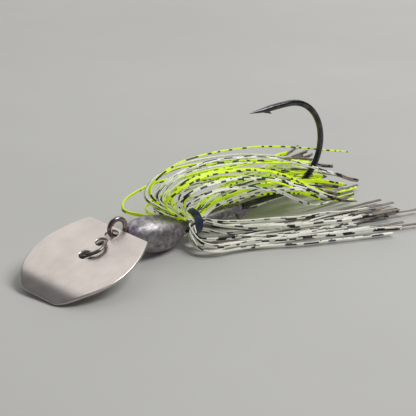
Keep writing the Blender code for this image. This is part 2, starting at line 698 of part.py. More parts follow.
def ribbon(name, path, knot, mat):
    n = len(path)
    k_tie = int(np.argmin(np.linalg.norm(path - np.array(knot), axis=1)))
    tangent = np.gradient(path, axis=0)
    tangent /= np.linalg.norm(tangent, axis=1)[:, None]
    across = np.zeros_like(path)
    for i, p in enumerate(path):
        a = math.atan2(-p[1], p[2] - AXIS_Z)
        turn = np.array([0.0, -math.cos(a), -math.sin(a)])
        flat = np.cross(tangent[i], [0.0, 0.0, 1.0])
        if np.dot(flat, turn) < 0:
            flat = -flat
        lay = min(max((1.9 - p[2]) / 1.2, 0.0), 1.0) * min(abs(i - k_tie) * STEP / 6.0, 1.0)
        v = turn * (1 - lay) + flat * lay
        v -= tangent[i] * np.dot(v, tangent[i])
        across[i] = v / max(np.linalg.norm(v), 1e-6)
    for _ in range(6):
        across[1:-1] = 0.25 * across[:-2] + 0.5 * across[1:-1] + 0.25 * across[2:]
    idx = ribbon_rings(path, k_tie, RINGS)
    rows = np.arange(n)
    bm = bmesh.new()
    rings = []
    for f in idx:
        p = np.array([np.interp(f, rows, path[:, k]) for k in range(3)])
        t = np.array([np.interp(f, rows, tangent[:, k]) for k in range(3)])
        v = np.array([np.interp(f, rows, across[:, k]) for k in range(3)])
        t /= np.linalg.norm(t)
        v -= t * np.dot(v, t)
        v /= np.linalg.norm(v)
        u = np.cross(t, v)
        s = abs(f - k_tie) * STEP
        half_w = 0.5 * (TIED_W + (STRAND_W - TIED_W) * min(s / 5.0, 1.0))
        half_t = 0.5 * (TIED_T + (STRAND_T - TIED_T) * min(s / 4.0, 1.0))
        ring = []
        for a, b in ((-1, -1), (1, -1), (1, 1), (-1, 1)):
            ring.append(bm.verts.new(Vector(p + v * a * half_w + u * b * half_t) * MM))
        rings.append(ring)
    for a, b in zip(rings, rings[1:]):
        for k in range(4):
            bm.faces.new((a[k], a[(k + 1) % 4], b[(k + 1) % 4], b[k]))
    bm.faces.new(rings[0])
    bm.faces.new(rings[-1])
    bmesh.ops.triangulate(bm, faces=bm.faces)
    return add_object(name, bm, mat, 50.0)


def strand_colour(layer, i, out_deg):
    """Every other strand on top is chartreuse; the rest are clear, some low ones barred in brown."""
    if flung(layer, out_deg):
        return "chartreuse"
    if -80.0 < out_deg < 36.0:
        return "chartreuse" if (i + layer) % 2 == 0 else "clear"
    return "brown" if abs(out_deg) > 95.0 and (i + layer) % 3 == 1 else "clear"


def build_skirt(mats):
    strands = part_strands(strand_paths())
    counts = {}
    made = []
    for layer, deg, path, knot in strands:
        i = counts.get(layer, 0)
        counts[layer] = i + 1
        colour = strand_colour(layer, i, spread(deg))
        name = "skirt_strand_%s_%s%02d" % (colour, "abc"[layer], i + 1)
        made.append(ribbon(name, path, knot, mats[colour]))
    return made


def set_origin(ob, point):
    """Move the object's origin to a point (mm) without moving its surface."""
    p = Vector(point) * MM
    ob.data.transform(Matrix.Translation(-p))
    ob.location = p


def main():
    clear_scene()
    nickel = material("satin_nickel", (0.62, 0.56, 0.50), 0.32, 1.0)
    black_nickel = material("black_nickel", (0.035, 0.035, 0.04), 0.25, 1.0)
    snap_wire = material("snap_wire", (0.10, 0.09, 0.08), 0.30, 1.0)
    lead = material("bare_lead", (0.23, 0.21, 0.24), 0.42, 1.0)
    thread = material("navy_thread", (0.01, 0.015, 0.07), 0.7)
    mats = {"chartreuse": material("chartreuse_silicone", (0.55, 0.95, 0.02), 0.45),
            "clear": material("barred_clear_silicone", (0.62, 0.66, 0.56), 0.40),
            "brown": material("brown_barred_silicone", (0.30, 0.24, 0.18), 0.45)}
    hook = build_hook(black_nickel)
    head = build_casting(lead)
    wrap = build_wrap(thread)
    blade = build_blade(nickel)
    snap = build_snap(snap_wire)
    skirt = build_skirt(mats)
    everything = [hook, head, wrap, blade, snap] + skirt
    eye = (EYE_C[0], 0.0, AXIS_Z + EYE_C[1])
    set_origin(blade, eye)
    set_origin(snap, blade_frame() @ Vector((SNAP_HOLES[0], 0.0, 0.0)))
    # rest frame: middle of the footprint over the origin, lowest point on z = 0
    low = Vector((1e9, 1e9, 1e9))
    high = -low
    for ob in everything:
        for v in ob.data.vertices:
            q = v.co + ob.location
            for k in range(3):
                low[k] = min(low[k], q[k])
                high[k] = max(high[k], q[k])
    shift = Vector((-(low.x + high.x) / 2, -(low.y + high.y) / 2, -low.z))
    for ob in everything:
        ob.location = ob.location + shift
    print("size mm", [round((high[k] - low[k]) / MM, 2) for k in range(3)],
          "shift mm", [round(v / MM, 3) for v in shift])


main()
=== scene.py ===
"""Looks of the bladed jig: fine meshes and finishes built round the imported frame.

The design's own millimetres (shank along X, point up, table near z = 0) are used for shapes,
and at() brings them into the row frame, in metres. The skirt's strands follow the packed
strands' own cross-sections, so every strand lies where its solid is.
"""

import math
import random

import bmesh
import bpy
import numpy as np
from mathutils import Matrix, Vector, noise
from mathutils.geometry import delaunay_2d_cdt


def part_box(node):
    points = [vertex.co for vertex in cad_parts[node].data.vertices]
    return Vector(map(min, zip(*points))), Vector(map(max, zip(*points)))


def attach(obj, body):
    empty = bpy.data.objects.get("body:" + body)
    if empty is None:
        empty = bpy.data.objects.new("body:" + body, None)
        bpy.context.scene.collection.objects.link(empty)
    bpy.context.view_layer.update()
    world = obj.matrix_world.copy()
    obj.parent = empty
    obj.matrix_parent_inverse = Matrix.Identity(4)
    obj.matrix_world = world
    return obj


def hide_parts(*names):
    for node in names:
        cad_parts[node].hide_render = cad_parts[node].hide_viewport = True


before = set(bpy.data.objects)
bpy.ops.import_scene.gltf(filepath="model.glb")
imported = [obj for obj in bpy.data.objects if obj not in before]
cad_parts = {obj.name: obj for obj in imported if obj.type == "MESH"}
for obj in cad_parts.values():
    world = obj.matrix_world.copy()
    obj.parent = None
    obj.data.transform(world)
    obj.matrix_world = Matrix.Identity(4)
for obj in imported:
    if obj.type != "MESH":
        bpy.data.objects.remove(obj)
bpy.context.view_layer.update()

MM = 0.001

# ---- hook: design millimetres, places as (x, height over the shank) ---------
AXIS_Z = 4.2                 # height of the shank
WIRE_R = 0.73
EYE_WIRE_R = 0.55
EYE_WIRE_END = 10.0          # length of thin wire from the eye's cut end
EYE_WIRE_FADE = 5.0          # length over which it then thickens to the shank's
EYE_C = (-9.3, 4.15)
EYE_R = 2.0
EYE_OPEN_DEG = 283.0
EYE_STEPS = 24
EYE_LEG = [(-7.15, 2.9), (-6.35, 1.65), (-4.9, 0.65), (-2.8, 0.12), (-0.5, 0.0)]
SHANK = [(8.0, 0.0), (22.0, 0.0), (36.0, 0.0)]
BEND_R = 10.95
BEND_C = (40.0, BEND_R)
BEND_STEPS = 12
BEND_STEP_DEG = 14.5
POINT_TIP = (27.9, 21.9)
POINT_LINE = [(35.4, 21.95), (31.6, 21.85), (29.4, 21.9), POINT_TIP]
POINT_LENGTH = 6.5
POINT_TIP_R = 0.02
HOOK_STEP = 0.16             # spacing of the wire's sections, with HOOK_SIDES points in each
HOOK_SIDES = 28
POINT_BARB_HALF = 0.26       # half the thickness of the wedge under the point
BRONZE_FROM = -5.0           # the wire goes bronze towards the eye from here, over BRONZE_FADE
BRONZE_FADE = 2.0

# ---- lead casting -----------------------------------------------------------
HEAD_A = 8.4
HEAD_R = 4.2
HEAD_Z = 4.4
HEAD_PITCH = math.radians(9.7)
COLLAR_R = 1.34
COLLAR_END = 12.4
KEEPER_R = 1.62
KEEPER_END = 25.2
BARB_TIP = (25.0, -3.1)
BARB_HALF = 0.62
CORE_GAP = 0.06
CORE_END = 31.0              # past the keeper barb, so the bore runs right through
EGG_STEPS = 48
EGG_SIDES = 64
STEM_SIDES = 32
CAST_VOXEL = 0.14

# ---- thread wrap ------------------------------------------------------------
WRAP_X = (10.0, 12.0)
WRAP_R = (2.55, 2.88)
THREAD_R = 0.09
THREAD_TURNS = 11
THREAD_STEPS = 40            # per turn
THREAD_STEP = 0.35
THREAD_SIDES = 8
THREAD_WANDER = 0.02

# ---- blade ------------------------------------------------------------------
BLADE_T = 0.70
BLADE_EDGE = 0.24            # radius of the tumbled edges
BLADE_CORNER = 0.34
BLADE_REAR = -2.2
BLADE_FRONT = 22.0
BLADE_SIDE = [(BLADE_REAR, 8.4), (0.6, 9.75), (3.5, 10.75), (6.0, 11.35), (8.4, 11.6), (10.6, 11.5),
              (12.8, 11.05), (14.9, 10.35), (16.8, 9.45), (18.5, 8.4), (20.0, 7.15),
              (21.2, 5.8), (BLADE_FRONT, 4.3)]
BLADE_BEND_AT = 16.6
BLADE_BEND_R = 9.0
BLADE_BEND = math.radians(21.0)
BLADE_YAW = math.radians(9.8)
BLADE_PITCH = math.radians(14.6)
BLADE_ROLL = math.radians(5.0)
BLADE_HOLE_DEG = 220.0
PIVOT_HOLE_R = 1.40
SNAP_HOLE_R = 1.30
SNAP_HOLES = (3.1, 8.15)
RIM_STEP = 0.35              # spacing of the points along its sides
EDGE_STEPS = 12              # round each edge, from the upper face to the lower
GRID = 0.62                  # spacing of the points inside the sheet
GRID_AT_BEND = 0.26
HOLE_CLEAR = 1.95            # distance of those points from a hole's middle

# ---- line snap --------------------------------------------------------------
SNAP_WIRE_R = 0.40
SNAP_LEAN = math.radians(52.0)
SNAP_STEP = 0.12
SNAP_SIDES = 20

# ---- skirt ------------------------------------------------------------------
STRAND_W = 0.88
STRAND_T = 0.40
STRAND_SIDES = 20
GROOVE_DEPTH = 0.72          # share of the half thickness
GROOVE_W = 0.2               # share of the half width
TIE_W = 0.56                 # strands are squeezed narrower under the thread
TIE_T = 0.28
TIE_HALF = 3.0               # length of that squeeze on each side of the tie
FLARE = 8.0                  # length over which the strand then reaches its full section
RIPPLE = 0.10
SWELL = 0.05
SWELL_LENGTH = 3.7
STRAND_STEP = 0.45
STAINED_PAST_X = 48.0        # strand ends past this x that lie lower than the next value
STAINED_BELOW = 9.0          # have brown tips
WELD = 1e-6                  # metres


def design_origin():
    """Row-frame place of the design's zero, from the thread wrap, which is centred on the shank."""
    low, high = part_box("thread_wrap")
    middle = Vector(((WRAP_X[0] + WRAP_X[1]) / 2, 0.0, AXIS_Z)) * MM
    return (low + high) / 2 - middle


ORIGIN = design_origin()


def at(points):
    """Design millimetres to row-frame metres."""
    return np.asarray(points, dtype=float) * MM + np.array(ORIGIN)


# ---- curves and lofts -------------------------------------------------------
def arc_length(path):
    return np.concatenate([[0.0], np.cumsum(np.linalg.norm(np.diff(path[:, :3], axis=0), axis=1))])


def resample(path, step):
    s = arc_length(path)
    count = max(int(round(s[-1] / step)), 2) + 1
    u = np.linspace(0.0, s[-1], count)
    return np.stack([np.interp(u, s, path[:, k]) for k in range(path.shape[1])], axis=-1)


def spline(points, step):
    """Centripetal Catmull-Rom through the points; columns past the third are carried along."""
    pts = [np.array(p, dtype=float) for p in points]
    pts = [2 * pts[0] - pts[1]] + pts + [2 * pts[-1] - pts[-2]]
    fine = []
    for p0, p1, p2, p3 in zip(pts, pts[1:], pts[2:], pts[3:]):
        t1 = max(np.linalg.norm((p1 - p0)[:3]), 1e-6) ** 0.5
        t2 = t1 + max(np.linalg.norm((p2 - p1)[:3]), 1e-6) ** 0.5
        t3 = t2 + max(np.linalg.norm((p3 - p2)[:3]), 1e-6) ** 0.5
        for k in range(24):
            t = t1 + (t2 - t1) * k / 24
            a1 = (t1 - t) / t1 * p0 + t / t1 * p1
            a2 = (t2 - t) / (t2 - t1) * p1 + (t - t1) / (t2 - t1) * p2
            a3 = (t3 - t) / (t3 - t2) * p2 + (t - t2) / (t3 - t2) * p3
            b1 = (t2 - t) / t2 * a1 + t / t2 * a2
            b2 = (t3 - t) / (t3 - t1) * a2 + (t - t1) / (t3 - t1) * a3
            fine.append((t2 - t) / (t2 - t1) * b1 + (t - t1) / (t2 - t1) * b2)
    fine.append(pts[-2])
    return resample(np.array(fine), step)


def tangents(path):
    t = np.gradient(path, axis=0)
    return t / np.linalg.norm(t, axis=1)[:, None]


def loft(rings, pointed=None):
    """Vertices and faces of a skin over rings of equal count, closed at both ends."""
    count, sides = len(rings), len(rings[0])
    verts = [tuple(p) for ring in rings for p in ring]
    faces = []
    for i in range(count - 1):
        for k in range(sides):
            j = (k + 1) % sides
            faces.append((i * sides + k, i * sides + j, (i + 1) * sides + j, (i + 1) * sides + k))
    faces.append(tuple(range(sides - 1, -1, -1)))
    last = (count - 1) * sides
    if pointed is None:
        faces.append(tuple(range(last, last + sides)))
    else:
        verts.append(tuple(pointed))
        faces += [(last + k, last + (k + 1) % sides, len(verts) - 1) for k in range(sides)]
    return verts, faces


def wire_rings(path, radii, sides):
    """Round sections along a path, their frame carried without twist."""
    tan = tangents(path)
    side = np.cross(tan[0], [0.0, 1.0, 0.0])
    if np.linalg.norm(side) < 0.1:
        side = np.cross(tan[0], [1.0, 0.0, 0.0])
    angles = 2 * np.pi * (np.arange(sides) + 0.5) / sides
    rings = []
    for p, t, r in zip(path, tan, radii):
        side = side - t * np.dot(side, t)
        side /= np.linalg.norm(side)
        other = np.cross(t, side)
        rings.append(p + r * (np.outer(np.cos(angles), side) + np.outer(np.sin(angles), other)))
    return rings


def make_mesh(name, verts, faces, mat, sharp=40.0):
    """A smooth-shaded mesh object from vertices in design millimetres."""
    mesh = bpy.data.meshes.new(name)
    mesh.from_pydata(at(verts).tolist(), [], faces)
    mesh.update()
    bm = bmesh.new()
    bm.from_mesh(mesh)
    bmesh.ops.recalc_face_normals(bm, faces=bm.faces)
    bm.to_mesh(mesh)
    bm.free()
    ob = bpy.data.objects.new(name, mesh)
    bpy.context.scene.collection.objects.link(ob)
    dress(ob, mat, sharp)
    return ob


def make_piece(name, verts, faces, mat, body, nodes, sharp=40.0):
    """A named piece of the look, riding on its body and standing for its CAD nodes."""
    ob = make_mesh(name, verts, faces, mat, sharp)
    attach(ob, body)
    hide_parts(*nodes)
    return ob


def dress(ob, mat, sharp):
    """Gives the piece its one material, shaded smooth but for edges sharper than that many degrees."""
    ob.data.materials.clear()
    ob.data.materials.append(mat)
    for poly in ob.data.polygons:
        poly.use_smooth = True
    ob.data.set_sharp_from_angle(angle=math.radians(sharp))


def apply_modifiers(ob):
    """Puts the evaluated mesh in place of the piece's own."""
    deps = bpy.context.evaluated_depsgraph_get()
    mesh = bpy.data.meshes.new_from_object(ob.evaluated_get(deps))
    ob.modifiers.clear()
    old = ob.data
    ob.data = mesh
    bpy.data.meshes.remove(old)


def boolean(target, tool, operation):
    """Exact boolean with the tool, which is used up."""
    mod = target.modifiers.new("cut", "BOOLEAN")
    mod.operation = operation
    mod.solver = "EXACT"
    mod.object = tool
    apply_modifiers(target)
    bpy.data.objects.remove(tool, do_unlink=True)


def add_attribute(ob, name, values):
    attribute = ob.data.attributes.new(name, "FLOAT", "POINT")
    attribute.data.foreach_set("value", np.asarray(values, dtype=np.float32))


# ---- finishes ---------------------------------------------------------------
class Finish:
    """A Principled material, with short calls for the nodes that vary it."""

    def __init__(self, name, rgb, rough, metal=0.0, **sockets):
        self.mat = bpy.data.materials.new(name)
        self.mat.use_nodes = True
        self.tree = self.mat.node_tree
        self.shader = self.tree.nodes["Principled BSDF"]
        self.shader.inputs["Base Color"].default_value = (*rgb, 1.0)
        self.shader.inputs["Roughness"].default_value = rough
        self.shader.inputs["Metallic"].default_value = metal
        for key, value in sockets.items():
            self.shader.inputs[key.replace("_", " ")].default_value = value
        self.coordinates = None

    def node(self, kind, **settings):
        made = self.tree.nodes.new(kind)
        for key, value in settings.items():
            setattr(made, key, value)
        return made

    def place(self):
        """The piece's own coordinates, which ride with its body."""
        if self.coordinates is None:
            self.coordinates = self.node("ShaderNodeTexCoord").outputs["Object"]
        return self.coordinates

    def stretched(self, scale):
        """Object coordinates scaled per axis."""
        mapping = self.node("ShaderNodeMapping")
        mapping.inputs["Scale"].default_value = scale
        self.tree.links.new(self.place(), mapping.inputs["Vector"])
        return mapping.outputs["Vector"]

    def grain(self, scale, detail=3.0, where=None, rough=0.5):
        """Value of a noise texture in the piece's own coordinates."""
        tex = self.node("ShaderNodeTexNoise")
        tex.inputs["Scale"].default_value = scale
        tex.inputs["Detail"].default_value = detail
        tex.inputs["Roughness"].default_value = rough
        self.tree.links.new(where or self.place(), tex.inputs["Vector"])
        return tex.outputs["Fac"]

    def attribute(self, name):
        return self.node("ShaderNodeAttribute", attribute_name=name).outputs["Fac"]

    def math(self, operation, a, b=0.0, c=0.0):
        made = self.node("ShaderNodeMath", operation=operation)
        for socket, value in zip(made.inputs, (a, b, c)):
            if isinstance(value, (int, float)):
                socket.default_value = value
            else:
                self.tree.links.new(value, socket)
        return made.outputs[0]

    def span(self, value, low, high, out_low=0.0, out_high=1.0, smooth=False):
        """Maps low..high to out_low..out_high, clamped."""
        made = self.node("ShaderNodeMapRange")
        made.interpolation_type = "SMOOTHSTEP" if smooth else "LINEAR"
        self.tree.links.new(value, made.inputs["Value"])
        limits = {"From Min": low, "From Max": high, "To Min": out_low, "To Max": out_high}
        for key, number in limits.items():
            made.inputs[key].default_value = number
        return made.outputs["Result"]

    def blend(self, fac, a, b):
        """Colour mix; a and b are colours or sockets."""
        made = self.node("ShaderNodeMix", data_type="RGBA")
        self.tree.links.new(fac, made.inputs["Factor"])
        for key, value in ((6, a), (7, b)):
            if isinstance(value, tuple):
                made.inputs[key].default_value = (*value, 1.0)
            else:
                self.tree.links.new(value, made.inputs[key])
        return made.outputs[2]

    def colour(self, socket):
        self.tree.links.new(socket, self.shader.inputs["Base Color"])

    def roughness(self, socket):
        self.tree.links.new(socket, self.shader.inputs["Roughness"])

    def bump(self, height, distance, strength=1.0):
        """Relief of that height, in metres."""
        made = self.node("ShaderNodeBump")
        made.inputs["Distance"].default_value = distance
        made.inputs["Strength"].default_value = strength
        self.tree.links.new(height, made.inputs["Height"])
        self.tree.links.new(made.outputs["Normal"], self.shader.inputs["Normal"])


def satin_nickel():
    """Tumbled nickel sheet: warm, faintly cloudy, with a fine pitted grain."""
    f = Finish("satin_nickel", (0.62, 0.56, 0.53), 0.34, 1.0)
    cloud = f.grain(150.0, 4.0)
    f.colour(f.blend(f.span(cloud, 0.35, 0.65), (0.575, 0.525, 0.495), (0.665, 0.60, 0.57)))
    scuff = f.grain(420.0, 5.0, f.stretched((1.0, 3.0, 1.0)))
    f.roughness(f.span(scuff, 0.3, 0.7, 0.29, 0.40))
    f.bump(f.grain(3000.0, 4.0), 0.00002, 0.6)
    return f.mat


def black_nickel():
    """Polished black nickel, going to dark bronze round the eye."""
    f = Finish("black_nickel", (0.05, 0.048, 0.052), 0.22, 1.0)
    stain = f.grain(500.0, 3.0)
    black = f.blend(f.span(stain, 0.35, 0.65), (0.05, 0.05, 0.055), (0.12, 0.115, 0.12))
    bronze = f.blend(f.span(stain, 0.3, 0.7), (0.17, 0.13, 0.135), (0.40, 0.31, 0.31))
    f.colour(f.blend(f.attribute("bronze"), black, bronze))
    f.roughness(f.span(f.grain(900.0, 4.0), 0.3, 0.7, 0.11, 0.24))
    f.bump(f.grain(3500.0, 2.0), 0.00001, 0.4)
    return f.mat


def snap_steel():
    """Spring steel wire, browned, with drawing marks."""
    f = Finish("snap_steel", (0.2, 0.17, 0.15), 0.28, 1.0)
    mark = f.grain(700.0, 4.0)
    f.colour(f.blend(f.span(mark, 0.35, 0.65), (0.12, 0.10, 0.085), (0.32, 0.28, 0.24)))
    f.roughness(f.span(f.grain(1600.0, 3.0), 0.3, 0.7, 0.2, 0.38))
    f.bump(f.grain(4500.0, 2.0), 0.00001, 0.5)
    return f.mat


def bare_lead():
    """Bare cast lead: grey with violet oxide patches, satin, slightly pitted."""
    f = Finish("bare_lead", (0.3, 0.27, 0.32), 0.42, 0.9)
    patch = f.grain(230.0, 5.0, rough=0.6)
    oxide = f.grain(900.0, 5.0, rough=0.65)
    grey = f.blend(f.span(oxide, 0.32, 0.68), (0.15, 0.14, 0.145), (0.44, 0.42, 0.415))
    violet = f.blend(f.span(oxide, 0.35, 0.65), (0.17, 0.15, 0.185), (0.50, 0.435, 0.54))
    f.colour(f.blend(f.span(patch, 0.42, 0.60, smooth=True), grey, violet))
    f.roughness(f.span(f.grain(750.0, 5.0), 0.3, 0.7, 0.32, 0.55))
    pits = f.grain(1900.0, 4.0)
    f.bump(f.math("ADD", pits, f.math("MULTIPLY", patch, 2.0)), 0.00006, 0.7)
    return f.mat


def navy_thread():
    """Twisted tying thread, waxed dark blue."""
    f = Finish("navy_thread", (0.012, 0.02, 0.10), 0.5, Sheen_Weight=0.4)
    fibre = f.grain(2500.0, 3.0)
    f.colour(f.blend(f.span(fibre, 0.35, 0.65), (0.004, 0.006, 0.028), (0.02, 0.032, 0.13)))
    f.roughness(f.span(f.grain(3000.0, 3.0), 0.3, 0.7, 0.38, 0.65))
    f.bump(f.grain(9000.0, 3.0, f.stretched((3.0, 1.0, 1.0))), 0.00003, 0.6)
    return f.mat


def bar_mask(f, pitch, duty, side, seed):
    """Printed bars along a strand: `pitch` in mm, fewer with a higher `duty`, reaching across to `side`.

    A strand's own "fate" picks its stretch of the noise, and the two halves of its width differ.
    """
    per_strand, per_half = 23.0, 7.7
    place = f.node("ShaderNodeCombineXYZ")
    f.tree.links.new(f.math("DIVIDE", f.attribute("along"), pitch), place.inputs["X"])
    half = f.math("MULTIPLY", f.math("GREATER_THAN", f.attribute("across"), 0.0), per_half)
    lane = f.math("MULTIPLY_ADD", f.attribute("fate"), per_strand, seed)
    f.tree.links.new(f.math("ADD", lane, half), place.inputs["Y"])
    bars = f.grain(1.0, 0.0, place.outputs["Vector"])
    wobble = f.math("MULTIPLY", f.math("SUBTRACT", f.grain(2600.0, 2.0), 0.5), 0.10)
    printed = f.span(f.math("ADD", bars, wobble), duty, duty + 0.02)
    reach = f.math("ADD", f.math("MULTIPLY", wobble, 3.0), side)
    edge = f.math("LESS_THAN", f.attribute("across"), reach)
    return f.math("MULTIPLY", printed, edge)


def silicone(name, light, dark, painted_glow, bars, tail):
    """Skirt silicone: cloudy body colour, printed bars, and stained tips.

    bars holds (pitch, duty, side, seed, ink), tail holds (length in mm, pale, deep), and the third
    argument sets a painted glow: emission in the strand's own colours, standing for the light that
    comes through the silicone and brightening the strands beyond what the lamps give.
    """
    f = Finish(name, light, 0.34, Emission_Strength=painted_glow)
    body = f.blend(f.span(f.grain(500.0, 3.0), 0.3, 0.7), dark, light)
    if tail:
        length, pale, deep = tail
        tip = f.math("ADD", f.attribute("tail"), f.math("MULTIPLY", f.grain(900.0, 2.0), 6.0))
        streak = f.blend(f.span(f.grain(3200.0, 2.0), 0.35, 0.65), pale, deep)
        body = f.blend(f.span(tip, length, length + 2.5, 1.0, 0.0), body, streak)
    for pitch, duty, side, seed, ink in bars:
        body = f.blend(bar_mask(f, pitch, duty, side, seed), body, ink)
    f.colour(body)
    # painted glow: the body colour also drives the emission, so the strands shine without a lamp
    f.tree.links.new(body, f.shader.inputs["Emission Color"])
    f.roughness(f.span(f.grain(1400.0, 3.0), 0.3, 0.7, 0.24, 0.42))
    f.bump(f.grain(2200.0, 2.0), 0.00003, 0.35)
    return f.mat


def floor_finish():
    """Pale matt table top with a barely visible tooth."""
    f = Finish("pale_table", (0.57, 0.565, 0.54), 0.8, Specular_IOR_Level=0.2)
    f.colour(f.blend(f.span(f.grain(9.0, 4.0), 0.3, 0.7), (0.55, 0.545, 0.52), (0.59, 0.585, 0.56)))
    f.roughness(f.span(f.grain(60.0, 3.0), 0.3, 0.7, 0.7, 0.9))
    f.bump(f.grain(700.0, 2.0), 0.00002, 0.4)
    return f.mat


# ---- hook -------------------------------------------------------------------
def arc(centre, radius, angles):
    """Points (x, height) at those angles in degrees on a circle."""
    turns = [math.radians(a) for a in angles]
    return [(centre[0] + radius * math.cos(a), centre[1] + radius * math.sin(a)) for a in turns]


def hook_path(step):
    """Centre line of the hook wire: cut end of the eye, ring, leg, shank, bend, point."""
    line = arc(EYE_C, EYE_R, [EYE_OPEN_DEG * (1 - k / EYE_STEPS) for k in range(EYE_STEPS + 1)])
    line += EYE_LEG + SHANK
    line += arc(BEND_C, BEND_R, [-90.0 + BEND_STEP_DEG * k for k in range(BEND_STEPS + 1)])
    line += POINT_LINE
    path = spline([(x, 0.0, z) for x, z in line], step)
    path[:, 2] += AXIS_Z
    return path


def hook_radii(path, extra=0.0):
    """Wire radius along the path: thin at the eye, full on the shank, tapered to the point."""
    s = arc_length(path)
    grow = np.clip((s - EYE_WIRE_END) / EYE_WIRE_FADE, 0.0, 1.0)
    radii = EYE_WIRE_R + (WIRE_R - EYE_WIRE_R) * grow
    left = s[-1] - s
    point = POINT_TIP_R + (WIRE_R - POINT_TIP_R) * np.clip(left / POINT_LENGTH, 0.0, 1.0) ** 0.7
    return np.minimum(radii, np.where(left < POINT_LENGTH, point, radii)) + extra


def build_hook(mat):
    """Bent wire with a pointed end and a wedge barb under it."""
    path = hook_path(HOOK_STEP)
    rings = wire_rings(path, hook_radii(path), HOOK_SIDES)
    tip = path[-1] + tangents(path)[-1] * 0.25
    verts, faces = loft(rings, tip)
    ob = make_piece("hook_wire", verts, faces, mat, "lure", ["hook"], 50.0)
    z = AXIS_Z + POINT_TIP[1]
    outline = [(30.3, z - 0.05), (33.5, z - 0.1), (34.5, z - 1.35)]
    wedge = [(x, y, h) for y in (-POINT_BARB_HALF, POINT_BARB_HALF) for x, h in outline]
    sides = [(0, 1, 2), (5, 4, 3), (0, 3, 4, 1), (1, 4, 5, 2), (2, 5, 3, 0)]
    boolean(ob, make_mesh("barb_tool", wedge, sides, mat), "UNION")
    dress(ob, mat, 50.0)
    x = (np.array([v.co.x for v in ob.data.vertices]) - ORIGIN.x) / MM
    add_attribute(ob, "bronze", np.clip((BRONZE_FROM - x) / BRONZE_FADE, 0.0, 1.0))
    return ob


# ---- lead casting -----------------------------------------------------------
def lathe(profile, sides, centre, pitch=0.0):
    """Solid of revolution about X; profile is (x, r) from front to back."""
    turn = np.array(Matrix.Rotation(pitch, 3, "Y"))
    angles = 2 * np.pi * (np.arange(sides) + 0.5) / sides
    rings = []
    for x, r in profile:
        ring = np.stack([np.full(sides, x), r * np.sin(angles), r * np.cos(angles)], axis=-1)
        rings.append(ring @ turn.T + np.array(centre))
    return loft(rings)


def hook_core():
    """The hook's wire from the end of its eye ring to CORE_END, with the casting's play round it."""
    path = hook_path(0.6)
    on_ring = [i for i, p in enumerate(path) if p[0] < -7.0 and p[2] > AXIS_Z + EYE_C[1] + 0.6]
    past_casting = [i for i, p in enumerate(path) if p[0] > CORE_END]
    core = slice(max(on_ring), min(past_casting))
    return loft(wire_rings(path[core], hook_radii(path, CORE_GAP)[core], 16))


def cast_lump(place):
    """Height in mm of the cast skin at a place in metres: soft lumps with finer ones on them."""
    return noise.noise(place * 260.0) * 0.05 + noise.noise(place * 800.0) * 0.02 - 0.02


def build_head(mat):
    """Egg, stem and keeper barb fused and cored for the hook, then given a cast lead skin."""
    turns = [math.pi * k / EGG_STEPS for k in range(1, EGG_STEPS)]
    egg = [(-HEAD_A * math.cos(a), HEAD_R * math.sin(a)) for a in turns]
    stem = [(3.0, COLLAR_R), (COLLAR_END, COLLAR_R), (COLLAR_END + 0.35, KEEPER_R - 0.12),
            (COLLAR_END + 0.7, KEEPER_R), (16.0, KEEPER_R + 0.03), (19.5, 1.56), (22.5, 1.36),
            (24.4, 1.18), (KEEPER_END, 1.02)]
    outline = [(23.6, -0.35), (KEEPER_END - 0.25, -0.35), (28.3, -1.0), (28.1, -1.3), BARB_TIP,
               (24.75, -3.0)]
    barb = loft([[(x, y, AXIS_Z + h) for x, h in outline] for y in (-BARB_HALF, BARB_HALF)])
    verts, faces = lathe(egg, EGG_SIDES, (0.0, 0.0, HEAD_Z), HEAD_PITCH)
    ob = make_piece("lead_jig_head", verts, faces, mat, "lure", ["lead_head"])
    stem = lathe(stem, STEM_SIDES, (0.0, 0.0, AXIS_Z))
    for (verts, faces), operation in ((stem, "UNION"), (barb, "UNION"), (hook_core(), "DIFFERENCE")):
        boolean(ob, make_mesh("casting_tool", verts, faces, mat), operation)
    remesh = ob.modifiers.new("skin", "REMESH")
    remesh.mode = "VOXEL"
    remesh.voxel_size = CAST_VOXEL * MM
    soften = ob.modifiers.new("soften", "SMOOTH")
    soften.factor = 0.5
    soften.iterations = 5
    apply_modifiers(ob)
    smooth = [(v.co.copy(), v.normal.copy()) for v in ob.data.vertices]
    lumpy = [co + normal * cast_lump(co) * MM for co, normal in smooth]
    ob.data.vertices.foreach_set("co", np.array(lumpy, dtype=np.float32).ravel())
    ob.data.update()
    dress(ob, mat, 35.0)
    return ob


# ---- thread wrap ------------------------------------------------------------
def build_wrap(mat):
    """One thread wound to and fro in three courses round the collar."""
    x0, x1 = WRAP_X
    inner = WRAP_R[0] + THREAD_R
    outer = WRAP_R[1] - THREAD_R
    count = THREAD_TURNS * THREAD_STEPS
    path = []
    for course, radius in enumerate((inner, (inner + outer) / 2 + 0.02, outer)):
        for k in range(count):
            f = k / count
            x = x0 + (x1 - x0) * (f if course % 2 == 0 else 1 - f)
            a = 2 * math.pi * THREAD_TURNS * f + 0.7 * course
            r = radius + THREAD_WANDER * math.sin(5 * a + course)
            path.append((x, r * math.sin(a), AXIS_Z + r * math.cos(a)))
    path = resample(np.array(path), THREAD_STEP)
    verts, faces = loft(wire_rings(path, np.full(len(path), THREAD_R), THREAD_SIDES))
    return make_piece("thread_winding", verts, faces, mat, "lure", ["thread_wrap"], 60.0)


